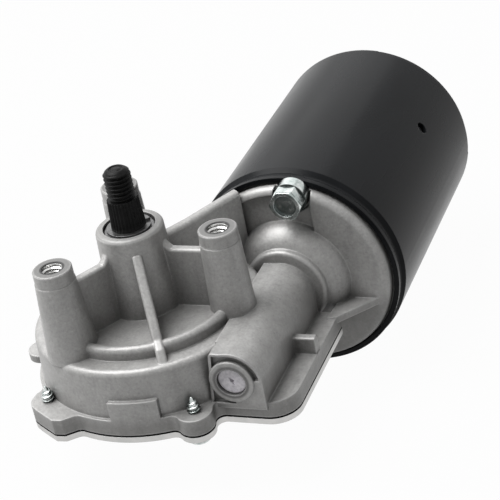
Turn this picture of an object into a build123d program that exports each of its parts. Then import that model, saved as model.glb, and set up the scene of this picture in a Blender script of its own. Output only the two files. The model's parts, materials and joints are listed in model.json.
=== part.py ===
from build123d import *
from math import acos, atan2, cos, degrees, hypot, pi, radians, sin, sqrt, tan
import os

# A two-speed wiper motor: a steel drum holds the motor, and a die-cast gearbox turns an upright output shaft.
# All sizes are in millimetres. The output shaft is the Z axis, and z = 0 is the plane of the three mounting posts.
# The armature turns about a line parallel to +Y, beside the output shaft and below the mounting plane.

# Driving dimensions: layout
axis_x = 33.4                 # output shaft to armature axis, across
axis_z = -34.7                # armature axis, below the mounting plane
joint_z = -46.9               # split plane between gearbox and cover
bolt_turn = 8.0               # tie bolts lean this far from the upright through the armature axis, degrees

# Driving dimensions: fits
running_gap = 0.03            # radial clearance of a shaft in its bush
seat_gap = 0.02               # radial clearance of a part pressed or set in its seat
loose_gap = 0.15              # clearance of a part that is only dropped in place

# Driving dimensions: worm gear
gear_module = 1.0             # axial pitch of the worm over pi
wheel_teeth = 56
pressure_angle = 20.0
tooth_backlash = 0.15         # taken off each tooth at the pitch line
wheel_addendum = 0.8
wheel_dedendum = 1.1
worm_addendum = 0.8
worm_dedendum = 1.05
wheel_face = 9.0
worm_half_turns = 9           # half turns of thread on each side of the wheel's centre line

pitch = pi * gear_module
wheel_pitch_r = wheel_teeth * gear_module / 2
wheel_tip_r = wheel_pitch_r + wheel_addendum
wheel_root_r = wheel_pitch_r - wheel_dedendum
worm_pitch_r = axis_x - wheel_pitch_r
worm_tip_r = worm_pitch_r + worm_addendum
worm_root_r = worm_pitch_r - worm_dedendum
wheel_top = axis_z + wheel_face / 2
wheel_bottom = axis_z - wheel_face / 2
worm_half = worm_half_turns * pitch / 2

# Driving dimensions: output shaft
shaft_r = 5.0
shaft_tip_z = 18.4
thread_r = 3.95               # crests of the screw thread, which is left plain
thread_low_z = 9.2
taper_top_r = 4.5
taper_low_z = 0.7
knurl_teeth = 30
knurl_depth = 0.3
circlip_groove_r = 4.55
circlip_thickness = 0.8
circlip_r = 6.5
washer_thickness = 0.9
washer_r = 7.2
seal_wire_r = 1.2
bush_length = 10.0
thrust_washer_thickness = 0.5
wheel_hub_r = 9.0

# Driving dimensions: gearbox casting
boss_top_z = 0.3
boss_top_r = 9.8
boss_foot_r = 10.9
boss_bore_r = 7.6
post_ring_r = 27.0
post_r = 5.6
post_neck_z = -4.0
post_step = 0.2
post_foot_r = 6.7
wall_post_foot_r = 7.6
post_angles = (0, -120, 120)
post_hole_r = 3.0             # outer radius of the screw thread, which is left plain
post_hole_depth = 15.0
pad_z = -25.0                 # roof inside the arc rib
shoulder_z = -27.0            # roof outside the arc rib
shoulder_r = 34.0
bowl_foot_r = 34.8
flange_r = 35.7
flange_top_z = -42.0
roof_inner_z = -29.5
hub_pocket_z = -27.8
hub_pocket_r = 23.5
ridge_round = 0.9             # rounding of the upper edges of ribs and webs
chamber_r = 29.9
rib_crest_z = -23.2
rib_ring_r = 26.5
rib_half_width = 1.6
web_thickness = 3.0
web_top_z = -6.6
gusset_angle = 58.0
gusset_thickness = 3.6
gusset_low_z = -7.0           # crest of the gusset at the boss and at the motor flange
gusset_high_z = -5.9
spine_angle = -60.0
spine_thickness = 2.9
ear_r = 5.2
ear_ring_r = 36.3
ear_angles = (-130.0, -51.8, 155.0, 100.0)
lug_place = (-37.2, -2.4)     # thin lug on the bowl's side, without a screw
lug_r = 4.8
lug_thickness = 2.4
wing_front_y = -23.0          # flat wing of the flange, under the worm tunnel
wing_side_x = 49.1
wing_back_y = 22.8
bowl_back_y = 30.4            # the bowl stops short of the motor flange on the drum side
bowl_back_x = 1.0
hub_cut_x = 20.5              # right of here the flange stops short of the armature hub
wing_corner_r = 8.0
wing_rib_y = (1.2, 3.9)
wing_rib_top_z = -36.8
shelf_top_z = -41.6           # narrow shelf from the wing to the motor flange
shelf_thickness = 2.2
tunnel_r = 9.0
tunnel_flat_z = -25.9
tunnel_side_x = (28.0, 25.8)  # drafted left side of the tunnel, at the top and at the foot
tunnel_side = axis_x + tunnel_r
tunnel_bowl_y = -18.0         # the tunnel runs into the bowl here
tunnel_rim = 0.8
plug_pocket_depth = 1.3
plug_ring_r = 6.6
tunnel_front_y = -24.0
tunnel_bore_r = 6.6
hub_r = 12.45
hub_front_y = 23.3
hub_foot_r = 16.8
motor_plate_y = 30.8          # front face of the motor flange
motor_plate_edge = 2.4        # rounding of the flange's rim
motor_plate_back_y = 34.7
spigot_end_y = 35.4
recess_y = 32.2
recess_rim = 2.2              # rim left standing round the recess
recess_x = (20.3, 42.5)
bolt_seat_y = 33.2

# Driving dimensions: cover and its screws
gasket_thickness = 0.6
cover_thickness = 1.8
screw_r = 1.5
screw_tip = 4.8               # how far the point stands above an ear
screw_head_r = 3.4
screw_head = 2.4

# Driving dimensions: drum
drum_r = 32.7
drum_wall = 1.5
drum_lip_y = 33.4
drum_lip_r = drum_r - 0.8
groove_y = 35.4
groove_r = drum_r - 1.05
groove_width = 1.6
drum_full_y = 38.2
drum_end_y = 121.9
drum_end_round = 3.0
end_cup_r = 8.8
end_cup_y = 127.2
vent_r = 1.9
vent_y = 90.3
vent_angle = 35.0
end_step_depth = 0.8
end_step_length = 3.2
spigot_r = drum_lip_r - drum_wall - 0.05
motor_plate_r = spigot_r - 0.6

# Driving dimensions: motor inside
armature_r = 4.0
journal_r = 3.0
magnet_thickness = 7.0
magnet_air_gap = 0.8
magnet_y = (54.0, 100.0)
magnet_half_span = 62.0
core_r = drum_r - drum_wall - seat_gap - magnet_thickness - magnet_air_gap
core_y = (58.0, 96.0)
slots = 12
slot_floor_r = core_r * 0.49
slot_top_r = core_r - 1.8
slot_mouth = 2.2
tooth_width = 4.0
commutator_r = 11.0
commutator_y = (38.0, 49.0)
commutator_hub_r = 9.0
commutator_bar_gap = 0.6
brush_plate_thickness = 2.0
brush_plate_hole_r = commutator_r + 2.6
brush_width = 5.0
brush_height = 6.0
brush_length = 9.0
brush_wall = 0.6
brush_box_end_r = spigot_r - 1.75
brush_angles = (-10.0, 170.0, 110.0)
choke_angles = (35.0, 215.0)
choke_r = 3.0
choke_ring_r = spigot_r - choke_r - 3.7
choke_length = 11.0
hub_bush_r = 7.0
hub_bush_y = (24.5, 31.5)
nose_bush_r = 5.5
nose_bush_y = (-20.3, -15.2)
plug_r = 4.25
plug_length = 3.1
plug_front_y = -23.6
ball_r = 1.5
rear_bush_r = 7.0
rear_bush_y = (119.0, 125.0)

# Driving dimensions: tie bolts
bolt_r = 2.4
bolt_hex = 8.8
bolt_hex_height = 4.2
bolt_collar_r = 5.2
bolt_collar_height = 4.0
bolt_ring_r = drum_r - drum_wall - bolt_r - 1.4

# Driving dimensions: park switch and terminals
contact_ring_thickness = 0.5
contact_ring_r = (13.0, 23.5)
switch_plate_r = 27.5
switch_plate_thickness = 1.6
finger_radii = (14.5, 17.5, 20.5)
finger_width = 2.0
finger_thickness = 0.4
finger_gap = 0.05
socket_x = (10.0, 28.0)
socket_y = (-2.0, 16.0)
socket_depth = 11.0
socket_wall = 1.6
blade_size = (0.8, 5.0)
blade_length = 9.0

cover_top_z = joint_z - gasket_thickness
cover_bottom_z = cover_top_z - cover_thickness
upper_bush_top_z = boss_top_z - circlip_thickness - washer_thickness - 2 * seal_wire_r
lower_bush_z = hub_pocket_z + 0.1
low = (Align.CENTER, Align.CENTER, Align.MIN)


# Small helpers
def rod(r, z0, z1, x=0.0, y=0.0):
    return Pos(x, y, z0) * Cylinder(r, z1 - z0, align=low)


def cone(r0, r1, z0, z1, x=0.0, y=0.0):
    return Pos(x, y, z0) * Cone(r0, r1, z1 - z0, align=low)


def lying_rod(r, y0, y1, x=axis_x, z=axis_z):
    return Pos(x, y0, z) * Rot(-90, 0, 0) * Cylinder(r, y1 - y0, align=low)


def box(x0, x1, y0, y1, z0, z1):
    return Pos(x0, y0, z0) * Box(x1 - x0, y1 - y0, z1 - z0, align=(Align.MIN, Align.MIN, Align.MIN))


def polar(r, angle):
    return r * cos(radians(angle)), r * sin(radians(angle))


def outline(points):
    return make_face(Polyline(*points, close=True))


def soften(face, spots, radius):
    for spot in spots:
        vertex = face.vertices().sort_by_distance((spot[0], spot[1], 0))[0]
        face = fillet(vertex, radius)
    return face


def lathe_z(face):
    return revolve(Plane.XZ * face, Axis.Z)


def lathe_y(face):
    """Turns a profile of (radius, y) about the armature axis."""
    return Pos(axis_x, 0, axis_z) * revolve(face, Axis.Y)


def upright_plate(face, thickness, angle, low_z, radius):
    """Stands a profile of (radius, z) on a plane through the output axis, its edges above low_z rounded."""
    plate = Pos(0, thickness / 2, 0) * extrude(Plane.XZ * face, thickness)
    crest = [e for e in plate.edges() if abs((e @ 0).Y - (e @ 1).Y) < 0.1 and abs((e @ 0).X - (e @ 1).X) > 0.1]
    crest = [e for e in crest if (e @ 0.5).Z > low_z]
    return Rot(0, 0, angle) * fillet(crest, radius)


def around_motor(shape, angle):
    """Turns a shape about the armature axis. Zero points to +X, 90 points up."""
    home = Pos(axis_x, 0, axis_z)
    return home * Rot(0, -angle, 0) * home.inverse() * shape


def bolt_places():
    return [polar(bolt_ring_r, 90 - bolt_turn), polar(bolt_ring_r, -90 - bolt_turn)]


def helical_ridge(root_r, tip_r, lead, length, root_width, tip_width):
    """A right-handed ridge around +Z that starts at z = 0 on the +X side."""
    path = Helix(lead, length, root_r)
    plane = Plane(origin=path @ 0, x_dir=(1, 0, 0), z_dir=path % 0)
    sink = 0.15
    reach = tip_r - root_r
    corners = [(-sink, -root_width / 2), (reach, -tip_width / 2), (reach, tip_width / 2), (-sink, root_width / 2)]
    return sweep(plane * outline(corners), path=path, is_frenet=True)


# Flange outline shared by the casting, the gasket and the cover
def ear_places():
    return [polar(ear_ring_r, angle) for angle in ear_angles]


def ear_lobe(x, y):
    reach = hypot(x, y)
    neck = Pos(reach - 6, 0) * Rectangle(12, 2 * ear_r)
    return Rot(0, 0, degrees(atan2(y, x))) * (neck + Pos(reach, 0) * Circle(ear_r))


def bowl_lobes():
    sketch = Circle(flange_r)
    for x, y in ear_places():
        sketch += ear_lobe(x, y)
    corner = [
        (-26.0, -22.5), (-28.4, -25.0), (-28.6, -28.4), (-25.3, -32.8), (-18.0, -37.2), (-15.0, -37.0),
        (-12.4, -34.9), (-11.0, -33.0), (-16.0, -22.0),
    ]
    return sketch + soften(outline(corner), corner[1:6], 0.9)


def wing_sketch():
    wing = outline([(10, wing_front_y), (wing_side_x, wing_front_y), (wing_side_x, wing_back_y), (10, wing_back_y)])
    return soften(wing, [(wing_side_x, wing_front_y)], wing_corner_r)


def flange_sketch():
    sketch = bowl_lobes() + wing_sketch()
    grown = offset(sketch, 2.5, kind=Kind.ARC)
    sketch = offset(grown, -2.5, kind=Kind.ARC)
    sketch -= outline([(bowl_back_x, bowl_back_y), (80, bowl_back_y), (80, 60), (bowl_back_x, 60)])
    return sketch - outline([(hub_cut_x, wing_back_y), (80, wing_back_y), (80, 60), (hub_cut_x, 60)])


# Gearbox casting
def bowl_shell():
    wall = outline([
        (0, joint_z), (bowl_foot_r, joint_z), (shoulder_r, shoulder_z - 2), (shoulder_r, shoulder_z), (0, shoulder_z),
    ])
    wall = soften(wall, [(shoulder_r, shoulder_z)], 1.8)
    roof = rod(rib_ring_r, shoulder_z, pad_z)
    return lathe_z(wall) + roof


def arc_rib():
    middle_z = rib_crest_z - rib_half_width
    bar = outline([
        (rib_ring_r - rib_half_width, shoulder_z), (rib_ring_r + rib_half_width, shoulder_z),
        (rib_ring_r + rib_half_width, middle_z), (rib_ring_r - rib_half_width, middle_z),
    ])
    profile = bar + Pos(rib_ring_r, middle_z) * Circle(rib_half_width)
    ring = revolve(Plane.XZ * profile, Axis.Z, 116)
    return Rot(0, 0, -118) * ring


def centre_boss():
    profile = outline([(0, shoulder_z), (boss_foot_r, shoulder_z), (boss_top_r, boss_top_z), (0, boss_top_z)])
    profile = soften(profile, [(boss_top_r, boss_top_z)], 1.2)
    return lathe_z(profile)


def post(angle):
    foot = wall_post_foot_r if angle == post_angles[1] else post_foot_r
    x, y = polar(post_ring_r, angle)
    neck = rod(post_r, post_neck_z - 1, 0, x, y)
    neck = chamfer(neck.edges().group_by(Axis.Z)[-1], 0.3)
    return neck + cone(foot, post_r + post_step, shoulder_z - 1, post_neck_z, x, y)


def post_web(angle):
    """Wall from the boss to a post, its crest rounded and swept up against the boss."""
    start = boss_top_r - 2
    low = shoulder_z - 1
    foot = web_top_z - 3
    bar = outline([(start, low), (start, web_top_z), (post_ring_r, web_top_z), (post_ring_r, low)])
    sweep_end = (boss_top_r + 4, web_top_z - 1)
    flare = make_face([
        Line((start, foot), (start, web_top_z + 6)),
        Line((start, web_top_z + 6), (start + 1, web_top_z + 6)),
        RadiusArc((start + 1, web_top_z + 6), sweep_end, -8),
        Line(sweep_end, (sweep_end[0], foot)),
        Line((sweep_end[0], foot), (start, foot)),
    ])
    plate = Pos(0, web_thickness / 2, 0) * extrude(Plane.XZ * flare, web_thickness)
    plate = fillet(plate.edges().filter_by(GeomType.CIRCLE), ridge_round)
    return upright_plate(bar, web_thickness, angle, shoulder_z + 1, ridge_round) + Rot(0, 0, angle) * plate


def spine():
    """Rib down the front of the boss and over the shoulder."""
    profile = outline([
        (boss_top_r - 2, shoulder_z), (boss_top_r - 2, -4.4), (boss_top_r + 0.6, -4.4),
        (rib_ring_r, rib_crest_z + 0.5), (rib_ring_r + 3, rib_crest_z - 0.9), (shoulder_r - 0.6, shoulder_z - 1.2),
        (shoulder_r - 0.6, shoulder_z - 5), (boss_top_r + 3, shoulder_z - 5),
    ])
    return upright_plate(profile, spine_thickness, spine_angle, shoulder_z - 3, ridge_round)


def flange_gusset():
    """Wall from the boss to the motor flange."""
    reach = (drum_lip_y - 0.3) / sin(radians(gusset_angle)) - gusset_thickness / 2
    edge_z = flange_top_z + 2
    profile = outline([
        (boss_top_r - 2, shoulder_z), (boss_top_r - 2, gusset_low_z), (reach / 2, gusset_low_z),
        (reach, gusset_high_z), (reach, edge_z), (shoulder_r - 2, edge_z), (shoulder_r - 2, shoulder_z),
    ])
    return upright_plate(profile, gusset_thickness, gusset_angle, gusset_low_z - 1, gusset_thickness * 0.4)


def tunnel_section():
    """Section of the tunnel across the armature axis: a barrel with a flat top and a drafted left side."""
    foot_z = joint_z + 3.2
    left_top, left_foot = tunnel_side_x
    side = outline([
        (tunnel_side, foot_z), (tunnel_side, axis_z), (axis_x, tunnel_flat_z), (left_top, tunnel_flat_z),
        (left_foot, foot_z),
    ])
    side = soften(side, [(left_top, tunnel_flat_z)], 1.0)
    barrel = Pos(axis_x, axis_z) * Circle(tunnel_r)
    beyond = outline([
        (left_foot - 8, foot_z - 6), (left_foot, foot_z - 6), (left_foot, foot_z), (left_top, tunnel_flat_z - 1),
        (left_top, 0), (left_foot - 8, 0),
    ])
    return barrel - beyond + side


def worm_tunnel():
    reach = tunnel_bowl_y - tunnel_front_y
    front = Pos(0, tunnel_bowl_y, 0) * extrude(Plane.XZ * tunnel_section(), reach)
    full = lying_rod(tunnel_r, tunnel_bowl_y, hub_front_y + 2)
    left = tunnel_side_x[0]
    full += box(left, axis_x, tunnel_bowl_y, hub_front_y, joint_z + 3.2, tunnel_flat_z)
    full += box(axis_x, tunnel_side, tunnel_bowl_y, hub_front_y, joint_z + 3.2, axis_z)
    ring_boss = lying_rod(plug_ring_r, tunnel_front_y - 0.5, tunnel_front_y + 6)
    ring_boss = fillet(ring_boss.edges().group_by(Axis.Y)[0], 0.4)
    return front + full, ring_boss


def plug_pocket():
    """Recess in the end of the tunnel, above and to the left of the ring that holds the thrust plug."""
    sketch = offset(tunnel_section(), -tunnel_rim, kind=Kind.ARC)
    sketch &= Pos(axis_x, axis_z) * Circle(tunnel_r + 3)
    sketch -= outline([(axis_x, joint_z - 1), (60, joint_z - 1), (60, axis_z + 2), (axis_x, axis_z)])
    sketch -= outline([(0, joint_z - 1), (60, joint_z - 1), (60, flange_top_z), (0, flange_top_z)])
    back_y = tunnel_front_y + plug_pocket_depth
    return Pos(0, back_y, 0) * extrude(Plane.XZ * sketch, plug_pocket_depth + 1)


def motor_flange():
    foot_y = recess_y + 0.3
    hub = make_face([
        Line((0, hub_front_y), (hub_r, hub_front_y)),
        Line((hub_r, hub_front_y), (hub_r + 0.3, hub_front_y + 2.0)),
        RadiusArc((hub_r + 0.3, hub_front_y + 2.0), (hub_foot_r + 1.6, foot_y), -9.0),
        Line((hub_foot_r + 1.6, foot_y), (0, foot_y)),
        Line((0, foot_y), (0, hub_front_y)),
    ])
    hub = soften(hub, [(hub_r, hub_front_y)], 1.2)
    plate = outline([
        (0, motor_plate_y), (motor_plate_r, motor_plate_y), (motor_plate_r, motor_plate_back_y),
        (spigot_r, motor_plate_back_y), (spigot_r, spigot_end_y), (0, spigot_end_y),
    ])
    plate = soften(plate, [(motor_plate_r, motor_plate_y)], motor_plate_edge)
    recess = box(*recess_x, motor_plate_y - 1, recess_y, axis_z + 9, 0)
    recess &= lying_rod(motor_plate_r - recess_rim, motor_plate_y - 1, recess_y)
    return lathe_y(plate) - recess + lathe_y(hub)


def flange_cuts():
    cut = lying_rod(motor_plate_r - 3, motor_plate_back_y, spigot_end_y + 1)
    for dx, dz in bolt_places():
        x, z = axis_x + dx, axis_z + dz
        cut += lying_rod(bolt_collar_r + 0.6, motor_plate_y - 3, bolt_seat_y, x, z)
        cut += lying_rod(bolt_r + loose_gap, bolt_seat_y - 1, spigot_end_y + 1, x, z)
        slot = box(-3.2, 3.2, motor_plate_back_y, spigot_end_y + 1, 0, 6)
        tilt = degrees(atan2(dx, dz))
        cut += Pos(x, 0, z) * Rot(0, tilt, 0) * slot
    return cut


def small_features():
    """Rib on the wing, shelf from the wing to the motor flange, web under the hub and lug on the bowl."""
    side_x = tunnel_side
    rib = box(side_x - 2, wing_side_x - 0.2, *wing_rib_y, joint_z + 1, wing_rib_top_z)
    rib = fillet(rib.edges().filter_by(Axis.X).group_by(Axis.Z)[-1], 0.6)
    back = motor_plate_y + 0.6
    corners = [(side_x + 4, wing_back_y - 4), (wing_side_x, wing_back_y - 3), (59.4, back), (side_x + 5, back)]
    shelf = extrude(Pos(0, 0, shelf_top_z - shelf_thickness) * outline(corners), shelf_thickness)
    under_hub = box(20, side_x, 15, back, joint_z, axis_z)
    lug = rod(lug_r, flange_top_z - lug_thickness, flange_top_z, *lug_place)
    return rib + shelf + under_hub + lug


def bearing_bores():
    cut = rod(boss_bore_r, upper_bush_top_z - bush_length, boss_top_z + 1)
    cut += rod(boss_bore_r, hub_pocket_z - 1, lower_bush_z + bush_length)
    cut += rod(shaft_r + 1.2, hub_pocket_z - 1, boss_top_z + 1)
    cut += lying_rod(tunnel_bore_r, nose_bush_y[1] - 0.4, hub_bush_y[0])
    cut += lying_rod(hub_bush_r, hub_bush_y[0], spigot_end_y + 1)
    cut += lying_rod(nose_bush_r, nose_bush_y[0], 0)
    cut += lying_rod(plug_r, tunnel_front_y - 3, nose_bush_y[0] + 1)
    return cut


def post_bore(angle):
    x, y = polar(post_ring_r, angle)
    return rod(post_hole_r, -post_hole_depth, 1, x, y)


def wall_pad():
    """Plain raised pad on the front of the bowl."""
    block = box(0, 14, -flange_r, -30, flange_top_z - 1, flange_top_z + 6)
    return block & rod(flange_r, joint_z, shoulder_z)


def gear_housing():
    body = extrude(Pos(0, 0, joint_z) * flange_sketch(), flange_top_z - joint_z)
    body += bowl_shell()
    body += wall_pad()
    tunnel, ring_boss = worm_tunnel()
    body += tunnel
    body -= plug_pocket()
    body += ring_boss
    body += small_features()
    body -= lying_rod(drum_r + 1, drum_lip_y - 0.3, drum_end_y)
    body += motor_flange()
    body += flange_gusset()
    body += arc_rib()
    body += spine()
    for angle in post_angles:
        body += post(angle)
        body += post_web(angle)
    body += centre_boss()
    body -= rod(chamber_r, joint_z - 1, roof_inner_z)
    body -= rod(hub_pocket_r, joint_z - 1, hub_pocket_z)
    body -= bearing_bores()
    body -= flange_cuts()
    for angle in post_angles:
        body -= post_bore(angle)
    for x, y in ear_places():
        body -= rod(screw_r + seat_gap, joint_z - 1, flange_top_z + 1, x, y)
    return body


# Cover, gasket and screws
def gear_cover():
    plate = extrude(Pos(0, 0, cover_bottom_z) * flange_sketch(), cover_thickness)
    for x, y in ear_places():
        plate -= rod(screw_r + 0.4, cover_bottom_z - 1, cover_top_z + 1, x, y)
    x0, x1 = socket_x
    y0, y1 = socket_y
    inset = socket_wall + 1
    plate -= box(x0 + inset, x1 - inset, y0 + inset, y1 - inset, cover_bottom_z - 1, cover_top_z + 1)
    return plate


def cover_gasket():
    sheet = extrude(Pos(0, 0, cover_top_z) * flange_sketch(), gasket_thickness)
    sheet -= rod(chamber_r, cover_top_z - 1, joint_z + 1)
    for x, y in ear_places():
        sheet -= rod(screw_r + 0.4, cover_top_z - 1, joint_z + 1, x, y)
    return sheet


def cover_screw(x, y):
    """Self-tapping screw that comes up through the cover, with its point above the ear."""
    head_z = cover_bottom_z - screw_head
    shank_top = flange_top_z + screw_tip / 3
    head = rod(screw_head_r, head_z, cover_bottom_z, x, y)
    head = fillet(head.edges().group_by(Axis.Z)[0], 1.0)
    head -= Pos(x, y, head_z) * Box(1.0, 4.4, 2.0)
    head -= Pos(x, y, head_z) * Box(4.4, 1.0, 2.0)
    point = cone(screw_r, 0.25, shank_top, flange_top_z + screw_tip, x, y)
    return head + rod(screw_r, cover_bottom_z, shank_top, x, y) + point


def cover_screws():
    return [cover_screw(x, y) for x, y in ear_places()]


# Output shaft and wheel
def knurled_taper():
    height = thread_low_z - taper_low_z
    step = 360 / knurl_teeth

    def ring(radius):
        points = []
        for k in range(knurl_teeth):
            points.append(polar(radius, k * step))
            points.append(polar(radius - knurl_depth, (k + 0.5) * step))
        return outline(points)
    taper = loft([Pos(0, 0, 0) * ring(shaft_r), Pos(0, 0, height) * ring(taper_top_r)], ruled=True)
    return Pos(0, 0, taper_low_z) * taper


def output_shaft():
    body = rod(shaft_r, wheel_bottom - 2.0, taper_low_z)
    body += knurled_taper()
    stud = rod(thread_r, thread_low_z - 0.5, shaft_tip_z)
    body += chamfer(stud.edges().group_by(Axis.Z)[-1], 0.8)
    groove_top = boss_top_z + 0.02
    groove_low = boss_top_z - circlip_thickness - 0.02
    groove = rod(shaft_r + 1, groove_low, groove_top) - rod(circlip_groove_r, groove_low, groove_top)
    return body - groove


def involute(angle):
    return tan(angle) - angle


def tooth_flank(radius):
    """Half of the angle that a wheel tooth takes at this radius."""
    alpha = radians(pressure_angle)
    half = (pitch / 2 - tooth_backlash) / 2 / wheel_pitch_r
    base_r = wheel_pitch_r * cos(alpha)
    here = acos(min(1.0, base_r / max(radius, base_r)))
    return half + involute(alpha) - involute(here)


def wheel_profile():
    radii = [wheel_root_r + (wheel_tip_r - wheel_root_r) * share for share in (0, 0.5, 1)]
    points = []
    for k in range(wheel_teeth):
        middle = 2 * pi * k / wheel_teeth
        for r in radii:
            points.append((r * cos(middle - tooth_flank(r)), r * sin(middle - tooth_flank(r))))
        for r in reversed(radii):
            points.append((r * cos(middle + tooth_flank(r)), r * sin(middle + tooth_flank(r))))
    return outline(points)


def worm_wheel():
    twist = wheel_face * gear_module / 2 / worm_pitch_r / wheel_pitch_r
    start = Rot(0, 0, -degrees(twist) / 2) * wheel_profile()
    gear = Solid.extrude_linear_with_rotation(start.face(), (0, 0, 0), (0, 0, wheel_face), degrees(twist))
    body = Pos(0, 0, wheel_bottom) * gear
    rim_inner_r = wheel_root_r - 2.6
    floor_z = wheel_bottom + 2.6
    body -= rod(rim_inner_r, floor_z, wheel_top + 1)
    hub_top = hub_pocket_z - thrust_washer_thickness
    body += rod(wheel_hub_r, wheel_bottom, hub_top)
    for k in range(8):
        spoke = box(wheel_hub_r - 1, rim_inner_r + 1, -0.8, 0.8, floor_z - 0.5, wheel_top - 2)
        body += Rot(0, 0, 45 * k + 22.5) * spoke
    return body - rod(shaft_r + seat_gap, wheel_bottom - 1, hub_top + 1)


def contact_ring():
    ring = rod(contact_ring_r[1], wheel_bottom - contact_ring_thickness, wheel_bottom)
    ring -= rod(contact_ring_r[0], wheel_bottom - 1, wheel_bottom + 1)
    gap = outline([(0, 0), polar(30, -14), polar(30, 14)])
    gap = extrude(Pos(0, 0, wheel_bottom - 1) * gap, 2) - rod(19.6, wheel_bottom - 2, wheel_bottom + 2)
    return ring - gap


def bush(outer_r, inner_r, z0, z1):
    ring = rod(outer_r, z0, z1) - rod(inner_r, z0 - 1, z1 + 1)
    return chamfer(ring.edges().filter_by(GeomType.CIRCLE).sort_by(SortBy.RADIUS)[-2:], 0.3)


def output_bushes():
    lower = bush(boss_bore_r - seat_gap, shaft_r + running_gap, lower_bush_z, lower_bush_z + bush_length)
    upper = bush(boss_bore_r - seat_gap, shaft_r + running_gap, upper_bush_top_z - bush_length, upper_bush_top_z)
    return [lower, upper]


def shaft_seal():
    profile = Pos((shaft_r + boss_bore_r) / 2, upper_bush_top_z + seal_wire_r) * Circle(seal_wire_r - 0.02)
    return lathe_z(profile)


def shaft_washer():
    top = boss_top_z - circlip_thickness
    ring = rod(washer_r, top - washer_thickness, top)
    return ring - rod(shaft_r + 0.08, top - 2, top + 1)


def shaft_circlip():
    low_z = boss_top_z - circlip_thickness
    ring = rod(circlip_r, low_z, boss_top_z) - rod(circlip_groove_r + 0.05, low_z - 1, boss_top_z + 1)
    gap = outline([(0, 0), polar(12, 16), polar(12, 44)])
    return ring - extrude(Pos(0, 0, low_z - 1) * gap, 3)


def thrust_washer():
    low_z = hub_pocket_z - thrust_washer_thickness
    ring = rod(wheel_hub_r, low_z + 0.02, hub_pocket_z)
    return ring - rod(shaft_r + 0.15, low_z - 1, hub_pocket_z + 1)


# Drum and magnets
def drum_profile():
    wall = drum_wall
    end = drum_end_y
    cup_inner = rear_bush_r
    cup_floor = end_cup_y - wall
    outer = [
        (drum_lip_r, drum_lip_y), (drum_lip_r, groove_y - 0.3), (groove_r, groove_y + 0.3),
        (groove_r, groove_y + groove_width), (drum_r, drum_full_y), (drum_r, end), (end_cup_r, end),
        (end_cup_r, end_cup_y), (0, end_cup_y),
    ]
    inner = [
        (0, cup_floor), (cup_inner, cup_floor), (cup_inner, end - wall - 0.3), (drum_r - wall, end - wall - 0.3),
        (drum_r - wall, drum_full_y + 0.5), (groove_r - wall, groove_y + groove_width + 0.2),
        (groove_r - wall, groove_y), (drum_lip_r - wall, groove_y), (drum_lip_r - wall, drum_lip_y),
    ]
    face = outline(outer + inner)
    face = soften(face, [(drum_r, end)], drum_end_round)
    face = soften(face, [(drum_r - wall, end - wall - 0.3), (end_cup_r, end_cup_y)], drum_end_round - wall)
    return face


def motor_can():
    drum = lathe_y(drum_profile())
    ring = lying_rod(drum_r + 1, drum_end_y - end_step_length, drum_end_y + 1)
    ring -= lying_rod(drum_r - end_step_depth, drum_end_y - end_step_length - 1, drum_end_y + 2)
    for middle in (35, 215):
        sector = outline([(0, 0), polar(60, middle - 45), polar(60, middle + 45)])
        wedge = extrude(Plane(origin=(axis_x, drum_end_y + 2, axis_z), x_dir=(1, 0, 0), z_dir=(0, -1, 0)) * sector, 8)
        drum -= ring & wedge
    hole = Pos(axis_x, vent_y, axis_z) * Rot(0, 90, 0) * Cylinder(vent_r, drum_r + 2, align=low)
    drum -= around_motor(hole, vent_angle)
    for dx, dz in bolt_places():
        drum -= lying_rod(bolt_r + seat_gap, drum_end_y - 6, drum_end_y + 1, axis_x + dx, axis_z + dz)
    return drum


def magnet(middle):
    outer_r = drum_r - drum_wall - seat_gap
    inner_r = core_r + magnet_air_gap
    arc = lying_rod(outer_r, *magnet_y) - lying_rod(inner_r, magnet_y[0] - 1, magnet_y[1] + 1)
    far = 2 * outer_r
    sector = outline([
        (0, 0), polar(far, -magnet_half_span), (far, 0), polar(far, magnet_half_span),
    ])
    plane = Plane(origin=(axis_x, magnet_y[1] + 1, axis_z), x_dir=(1, 0, 0), z_dir=(0, -1, 0))
    wedge = extrude(plane * sector, magnet_y[1] - magnet_y[0] + 2)
    return around_motor(arc & wedge, middle)


def magnets():
    return [magnet(-bolt_turn), magnet(180 - bolt_turn)]


# Armature
def armature_shaft():
    worm_core = lying_rod(worm_root_r, -worm_half - 0.8, worm_half + 1.2)
    ridge_half = (pitch / 2 - tooth_backlash) / 2
    lean = tan(radians(pressure_angle))
    root_width = 2 * (ridge_half + lean * worm_dedendum)
    tip_width = 2 * (ridge_half - lean * worm_addendum)
    ridge = helical_ridge(worm_root_r, worm_tip_r, pitch, 2 * worm_half, root_width, tip_width)
    start = Plane(origin=(axis_x, -worm_half, axis_z), x_dir=(-1, 0, 0), z_dir=(0, 1, 0))
    thread = start.location * ridge
    body = worm_core + thread
    body += lying_rod(journal_r, nose_bush_y[0] + 2.7, -worm_half)
    body += lying_rod(armature_r, worm_half, rear_bush_y[1] - 0.3)
    seat = Pos(axis_x, nose_bush_y[0] + 2.7 - 0.001, axis_z) * Rot(-90, 0, 0) * Cone(1.4, 0.1, 1.3, align=low)
    return body - seat


def slot_sketch(gap):
    """One winding slot of the core, set back from the iron by a gap."""
    half_low = slot_floor_r * sin(pi / slots) - tooth_width / 2 - gap
    half_top = slot_top_r * sin(pi / slots) - tooth_width / 2 - gap
    return outline([
        (slot_floor_r + gap, -half_low), (slot_top_r - gap, -half_top), (slot_top_r - gap, half_top),
        (slot_floor_r + gap, half_low),
    ])


def along_motor(sketch, y0, y1):
    plane = Plane(origin=(axis_x, y1, axis_z), x_dir=(1, 0, 0), z_dir=(0, -1, 0))
    return extrude(plane * sketch, y1 - y0)


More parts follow.
